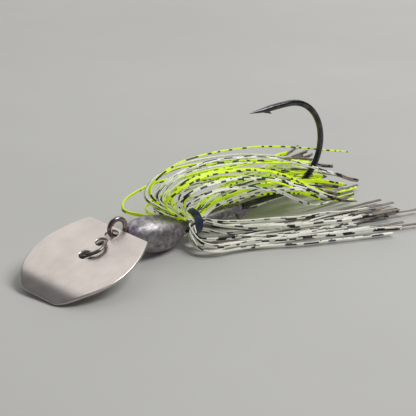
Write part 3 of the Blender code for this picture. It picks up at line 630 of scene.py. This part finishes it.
# ---- blade ------------------------------------------------------------------
def blade_frame():
    """Matrix of the blade (mm): X along the blade to the front, Y across, Z out of its face."""
    level = math.cos(BLADE_PITCH)
    front = Vector((-math.cos(BLADE_YAW) * level, -math.sin(BLADE_YAW) * level, -math.sin(BLADE_PITCH)))
    across = Vector((math.sin(BLADE_YAW), -math.cos(BLADE_YAW), 0.0))
    normal = across.cross(front)
    if normal.z < 0:
        normal.negate()
    w = across * math.cos(BLADE_ROLL) - normal * math.sin(BLADE_ROLL)
    n = w.cross(front)
    if n.z < 0:
        n.negate()
    a = math.radians(BLADE_HOLE_DEG)
    hole = Vector((EYE_C[0] + EYE_R * math.cos(a), 0.0, AXIS_Z + EYE_C[1] + EYE_R * math.sin(a)))
    m = Matrix((front, w, n)).transposed().to_4x4()
    m.translation = hole
    return m


def on_blade(s, t, h):
    """Point of the bent sheet: s along, t across, h out of the middle surface."""
    if s <= BLADE_BEND_AT:
        return Vector((s, t, h))
    ang = min((s - BLADE_BEND_AT) / BLADE_BEND_R, BLADE_BEND)
    rest = s - BLADE_BEND_AT - BLADE_BEND_R * ang
    x = BLADE_BEND_AT + BLADE_BEND_R * math.sin(ang) + rest * math.cos(ang)
    z = -BLADE_BEND_R * (1 - math.cos(ang)) - rest * math.sin(ang)
    return Vector((x + h * math.sin(ang), t, z + h * math.cos(ang)))


def rounded(points, corners, radius):
    """Closed outline with the listed corners replaced by arcs of about that radius."""
    out = []
    n = len(points)
    for i, p in enumerate(points):
        if i not in corners:
            out.append(p)
            continue
        before = (points[i - 1] - p).normalized()
        after = (points[(i + 1) % n] - p).normalized()
        for k in range(7):
            f = k / 6
            out.append(p + before * radius * (1 - f) ** 2 + after * radius * f ** 2)
    return out


def blade_outline():
    """The flat blade's outline, its four corners rounded."""
    side = [Vector((p[0], p[1])) for p in spline([(s, t, 0.0) for s, t in BLADE_SIDE], RIM_STEP)]
    front = [Vector((BLADE_FRONT, side[-1].y * (1 - k / 12))) for k in range(1, 24)]
    far = [Vector((p.x, -p.y)) for p in reversed(side)]
    rear = [Vector((BLADE_REAR, side[0].y * (-1 + k / 24))) for k in range(1, 48)]
    loop = side + front + far + rear
    corners = {0, len(side) - 1, len(side) + len(front), len(side) + len(front) + len(far) - 1}
    return rounded(loop, corners, BLADE_CORNER)


def offset(loop, distance):
    """The closed loop moved by distance along its outward normals."""
    area = sum(a.cross(b) for a, b in zip(loop, loop[1:] + loop[:1]))
    sign = 1.0 if area > 0 else -1.0
    out = []
    for i, p in enumerate(loop):
        t = (loop[(i + 1) % len(loop)] - loop[i - 1]).normalized()
        out.append(p + Vector((t.y, -t.x)) * sign * distance)
    return out


def inside(p, loop):
    """Whether the point is inside the closed loop."""
    hit = False
    for a, b in zip(loop, loop[1:] + loop[:1]):
        if (a.y > p.y) != (b.y > p.y) and p.x < (b.x - a.x) * (p.y - a.y) / (b.y - a.y) + a.x:
            hit = not hit
    return hit


def blade_grid():
    """Points inside the flat sheet, clear of its edge and holes, in closer rows through the bend."""
    bend_end = BLADE_BEND_AT + BLADE_BEND_R * BLADE_BEND
    rows = list(np.arange(BLADE_REAR + GRID / 2, BLADE_BEND_AT - 0.3, GRID))
    rows += list(np.arange(BLADE_BEND_AT - 0.1, bend_end + 0.2, GRID_AT_BEND))
    rows += list(np.arange(rows[-1] + GRID, BLADE_FRONT - 0.3, GRID))
    side_s, side_t = zip(*BLADE_SIDE)
    out = []
    for i, s in enumerate(rows):
        half = np.interp(s, side_s, side_t) - BLADE_EDGE - 0.35
        in_length = BLADE_REAR + BLADE_EDGE + 0.2 < s < BLADE_FRONT - BLADE_EDGE - 0.25
        for j in range(-20, 21):
            t = GRID * (j + 0.5 * (i % 2))
            clear = all((s - hole) ** 2 + t * t > HOLE_CLEAR ** 2 for hole in (0.0, *SNAP_HOLES))
            if abs(t) < half and in_length and clear:
                out.append(Vector((s, t)))
    return out


def blade_face(loops):
    """Points and triangles of the flat face between its outline, the first loop, and its holes."""
    flat = []
    edges = []
    for loop in loops:
        n = len(flat)
        flat += loop
        edges += [(n + k, n + (k + 1) % len(loop)) for k in range(len(loop))]
    points, _, tris, *_ = delaunay_2d_cdt(flat + blade_grid(), edges, [], 0, 1e-5)
    kept = []
    for tri in tris:
        mid = sum((points[i] for i in tri), Vector((0.0, 0.0))) / 3
        if inside(mid, loops[0]) and not any(inside(mid, hole) for hole in loops[1:]):
            kept.append(tri)
    return points, kept


def band(lower, upper):
    """Quads between two rings of vertex numbers."""
    count = len(lower)
    return [(lower[k], lower[(k + 1) % count], upper[(k + 1) % count], upper[k]) for k in range(count)]


def build_blade(mat):
    """Stamped sheet with rounded edges, three punched holes and its front bent down."""
    loops = [(blade_outline(), -1.0)]
    for s, r in ((0.0, PIVOT_HOLE_R), (SNAP_HOLES[0], SNAP_HOLE_R), (SNAP_HOLES[1], SNAP_HOLE_R)):
        turns = np.linspace(0, 2 * math.pi, 49)[:-1]
        loops.append(([Vector((s + r * math.cos(a), r * math.sin(a))) for a in turns], 1.0))
    inner = [offset(loop, BLADE_EDGE * sign) for loop, sign in loops]
    points, kept = blade_face(inner)
    m = blade_frame()
    half_t = BLADE_T / 2
    verts = [m @ on_blade(p.x, p.y, half_t) for p in points]
    verts += [m @ on_blade(p.x, p.y, -half_t) for p in points]
    n = len(points)
    faces = [tuple(t) for t in kept] + [tuple(n + i for i in reversed(t)) for t in kept]
    start = 0
    for loop, sign in loops:
        count = len(loop)
        previous = [start + k for k in range(count)]
        for step in range(1, EDGE_STEPS):
            a = math.pi * step / EDGE_STEPS
            side = offset(loop, sign * BLADE_EDGE * (1 - math.sin(a)))
            face = (2 * step < EDGE_STEPS) - (2 * step > EDGE_STEPS)
            height = (half_t - BLADE_EDGE) * face + BLADE_EDGE * math.cos(a)
            ring = [len(verts) + k for k in range(count)]
            verts += [m @ on_blade(p.x, p.y, height) for p in side]
            faces += band(previous, ring)
            previous = ring
        faces += band(previous, [n + start + k for k in range(count)])
        start += count
    return make_piece("blade_sheet", verts, faces, mat, "blade", ["blade"], 60.0)


# ---- line snap --------------------------------------------------------------
def snap_path(step):
    """Wire of the snap: (along the blade, distance from the line through the holes, extra lean)."""
    s1, s2 = SNAP_HOLES
    mid = (s1 + s2) / 2
    flat = [(s2 + 2.4, -1.5, 0.0), (s2 + 1.35, -1.9, 0.0), (s2 + 0.25, -1.45, 0.0), (s2, 0.0, 0.0),
            (s2 - 0.1, 1.4, 5.0), (s2 - 1.1, 2.35, 11.0), (mid, 2.7, 14.0), (s1 + 1.1, 2.35, 11.0),
            (s1 + 0.1, 1.4, 5.0), (s1, 0.0, 0.0), (s1 + 0.1, -1.5, 0.0), (s1 + 1.2, -2.7, 0.0),
            (s1 + 3.2, -3.25, 0.0), (s2 + 1.0, -3.4, 0.0), (s2 + 4.0, -3.35, 0.0),
            (s2 + 5.7, -3.25, 0.0), (s2 + 6.35, -3.05, 0.0), (s2 + 6.72, -2.6, 0.0), (s2 + 6.72, -2.0, 0.0),
            (s2 + 6.35, -1.5, 0.0), (s2 + 5.7, -1.35, 0.0), (s2 + 4.5, -1.75, 0.0), (s2 + 3.3, -2.35, 0.0)]
    m = blade_frame()
    pts = []
    for s, h, more in flat:
        lean = SNAP_LEAN + math.radians(more)
        pts.append(tuple(m @ Vector((s, h * math.sin(lean), h * math.cos(lean)))))
    return spline(pts, step)


def build_snap(mat):
    """Bent spring wire with rounded cut ends."""
    path = snap_path(SNAP_STEP)
    radii = np.full(len(path), SNAP_WIRE_R)
    for k, share in enumerate((0.55, 0.8, 0.93)):
        radii[k] *= share
        radii[-1 - k] *= share
    verts, faces = loft(wire_rings(path, radii, SNAP_SIDES))
    return make_piece("snap_wire_loop", verts, faces, mat, "snap", ["line_snap"], 60.0)


# ---- skirt ------------------------------------------------------------------
def cut_end(bm):
    """The four corners of one cut end: the only flat quad whose four edges are all sharp."""
    for e in bm.edges:
        if len(e.link_faces) != 2 or e.calc_face_angle() > 0.05:
            continue
        ends = list(e.link_faces)
        rim = [x for f in ends for x in f.edges if x is not e]
        if len(rim) == 4 and all(x.calc_face_angle() > 1.0 for x in rim):
            return {v for f in ends for v in f.verts}
    raise RuntimeError("a strand has no cut end")


def strand_sections(node):
    """A strand's centre line and width direction, ring by ring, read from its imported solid."""
    bm = bmesh.new()
    bm.from_mesh(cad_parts[node].data)
    bmesh.ops.remove_doubles(bm, verts=bm.verts, dist=WELD)
    layer = cut_end(bm)
    seen = set(layer)
    rows = []
    while layer:
        corners = np.array([v.co for v in layer])
        centre = corners.mean(axis=0)
        _, axes = np.linalg.eigh((corners - centre).T @ (corners - centre))
        wide = axes[:, -1]
        if rows and np.dot(wide, rows[-1][3:]) < 0:
            wide = -wide
        rows.append(np.concatenate([centre, wide]))
        layer = {e.other_vert(v) for v in layer for e in v.link_edges} - seen
        seen |= layer
    bm.free()
    rows = np.array(rows)
    rows[:, :3] = (rows[:, :3] - np.array(ORIGIN)) / MM
    return rows


def strand_profile():
    """Section as (across, through) pairs from -1 to 1: a flat strand with a groove down each face."""
    shape = []
    for k in range(STRAND_SIDES):
        a = 2 * math.pi * k / STRAND_SIDES
        x = math.cos(a)
        full = math.copysign(abs(math.sin(a)) ** 0.6, math.sin(a))
        shape.append((x, full * (1.0 - GROOVE_DEPTH * math.exp(-(x / GROOVE_W) ** 2))))
    return np.array(shape)


def tip_stain(tip):
    """Extra distance to the tip: none where the tip is stained, far off where it is clean."""
    return 0.0 if tip[0] > STAINED_PAST_X and tip[2] < STAINED_BELOW else 99.0


def build_strand(node, mats, rng):
    """The strip along a packed strand: squeezed at the tie, rippled, and kept above the table."""
    rows = spline(strand_sections(node), STRAND_STEP)
    centre = rows[:, :3]
    collar = np.array([(WRAP_X[0] + WRAP_X[1]) / 2, 0.0, AXIS_Z])
    tie = int(np.argmin(np.linalg.norm(centre - collar, axis=1)))
    s = arc_length(centre)
    along = s - s[tie]
    tail = np.minimum(s + tip_stain(centre[0]), s[-1] - s + tip_stain(centre[-1]))
    away = np.clip((np.abs(along) - TIE_HALF) / FLARE, 0.0, 1.0)
    tan = tangents(centre)
    wide = rows[:, 3:] - tan * np.sum(rows[:, 3:] * tan, axis=1)[:, None]
    wide /= np.linalg.norm(wide, axis=1)[:, None]
    thick = np.cross(tan, wide)
    wave = rng.uniform(9.0, 15.0)
    phase = rng.uniform(0.0, 2 * math.pi)
    ripple = RIPPLE * away * np.sin(2 * np.pi * along / wave + phase)
    centre = centre + wide * ripple[:, None]
    swell = 1.0 + SWELL * np.sin(2 * np.pi * along / SWELL_LENGTH + phase)
    half_w = 0.5 * (TIE_W + (STRAND_W - TIE_W) * away) * swell
    half_t = 0.5 * (TIE_T + (STRAND_T - TIE_T) * away)
    table = -ORIGIN.z / MM
    drop = np.abs(wide[:, 2]) * half_w + np.abs(thick[:, 2]) * half_t
    centre[:, 2] = np.maximum(centre[:, 2], table + drop + 0.005)
    shape = strand_profile()
    rings = [c + np.outer(shape[:, 0] * w, a) + np.outer(shape[:, 1] * t, b)
             for c, w, t, a, b in zip(centre, half_w, half_t, wide, thick)]
    verts, faces = loft(rings)
    colour = node.split("_")[2]
    name = node.replace("skirt_strand", "silicone_strand")
    ob = make_piece(name, verts, faces, mats[colour], "lure", [node], 60.0)
    sides = len(shape)
    add_attribute(ob, "along", np.repeat(along, sides))
    add_attribute(ob, "tail", np.repeat(tail, sides))
    add_attribute(ob, "across", np.tile(shape[:, 0], len(centre)))
    add_attribute(ob, "fate", np.full(len(ob.data.vertices), rng.random()))
    return ob


def build_skirt():
    """Every packed strand in its colour."""
    ink = (0.012, 0.013, 0.018)
    taupe = (0.34, 0.285, 0.225)
    dark_taupe = (0.17, 0.135, 0.105)
    # the third number of each finish is the strength of its painted glow (emission)
    mats = {
        "chartreuse": silicone("chartreuse_silicone", (0.82, 1.0, 0.010), (0.66, 0.95, 0.006), 0.16,
                               [(1.6, 0.52, -0.05, 3.0, ink)], None),
        "clear": silicone("barred_clear_silicone", (0.96, 0.955, 0.86), (0.82, 0.82, 0.72), 0.10,
                          [(2.6, 0.555, 0.75, 11.0, ink)], (10.0, taupe, dark_taupe)),
        "brown": silicone("brown_barred_silicone", (0.88, 0.86, 0.76), (0.72, 0.70, 0.60), 0.08,
                          [(11.0, 0.50, 2.0, 17.0, dark_taupe), (3.0, 0.62, 0.8, 29.0, ink)],
                          (14.0, taupe, dark_taupe)),
    }
    rng = random.Random(5)
    names = sorted(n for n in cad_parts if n.startswith("skirt_strand_"))
    return [build_strand(node, mats, rng) for node in names]


# ---- stage ------------------------------------------------------------------
VIEW_YAW = math.radians(40.0)
VIEW_RISE = math.radians(22.0)
VIEW_DISTANCE = 250.0
VIEW_RIGHT = 12.02           # the head's middle sits this far left of the picture's centre,
VIEW_UP = 5.65               # and this far below it
LENS = 99.5


def build_camera():
    """The photo's view: from in front of the blade and on the -Y side, looking 22 degrees down."""
    right = Vector((math.cos(VIEW_YAW), -math.sin(VIEW_YAW), 0.0))
    back = Vector((-math.sin(VIEW_YAW) * math.cos(VIEW_RISE), -math.cos(VIEW_YAW) * math.cos(VIEW_RISE),
                   math.sin(VIEW_RISE)))
    up = back.cross(right)
    head = Vector((0.0, 0.0, HEAD_Z - 0.05))
    eye = head + right * VIEW_RIGHT + up * VIEW_UP + back * VIEW_DISTANCE
    data = bpy.data.cameras.new("camera")
    data.lens = LENS
    data.sensor_width = 36.0
    data.clip_start = 0.01
    data.clip_end = 50.0
    camera = bpy.data.objects.new("camera", data)
    turn = Matrix((right, up, back)).transposed().to_4x4()
    camera.matrix_world = Matrix.Translation(at(tuple(eye))) @ turn
    bpy.context.scene.collection.objects.link(camera)
    bpy.context.scene.camera = camera


def soft_light(name, place, aim, size, watts, tint=(1.0, 1.0, 1.0)):
    """A rectangular lamp aimed at a point; places and size in metres."""
    data = bpy.data.lights.new(name, "AREA")
    data.shape = "RECTANGLE"
    data.size, data.size_y = size
    data.energy = watts
    data.color = tint
    ob = bpy.data.objects.new(name, data)
    ob.location = place
    ob.rotation_euler = (Vector(aim) - Vector(place)).to_track_quat("-Z", "Y").to_euler()
    bpy.context.scene.collection.objects.link(ob)


def build_stage():
    """Pale table top, faint room light, a big soft window behind and a smaller lamp on the right."""
    bm = bmesh.new()
    bmesh.ops.create_grid(bm, x_segments=2, y_segments=2, size=3.0)
    mesh = bpy.data.meshes.new("table_top")
    bm.to_mesh(mesh)
    bm.free()
    table = bpy.data.objects.new("table_top", mesh)
    mesh.materials.append(floor_finish())
    bpy.context.scene.collection.objects.link(table)
    world = bpy.data.worlds.new("room")
    world.use_nodes = True
    background = world.node_tree.nodes["Background"]
    background.inputs["Color"].default_value = (0.93, 0.96, 1.0, 1.0)
    background.inputs["Strength"].default_value = 0.15
    bpy.context.scene.world = world
    middle = (0.0, 0.0, 0.01)
    soft_light("window", (0.60, 0.66, 0.80), middle, (1.6, 1.6), 7.8, (1.0, 0.985, 0.96))
    soft_light("lamp", (0.42, -0.44, 0.80), middle, (0.50, 0.50), 6.4)
    bpy.context.scene.view_settings.view_transform = "Standard"


def main():
    build_camera()
    build_stage()
    build_hook(black_nickel())
    build_head(bare_lead())
    build_wrap(navy_thread())
    build_blade(satin_nickel())
    build_snap(snap_steel())
    build_skirt()


main()
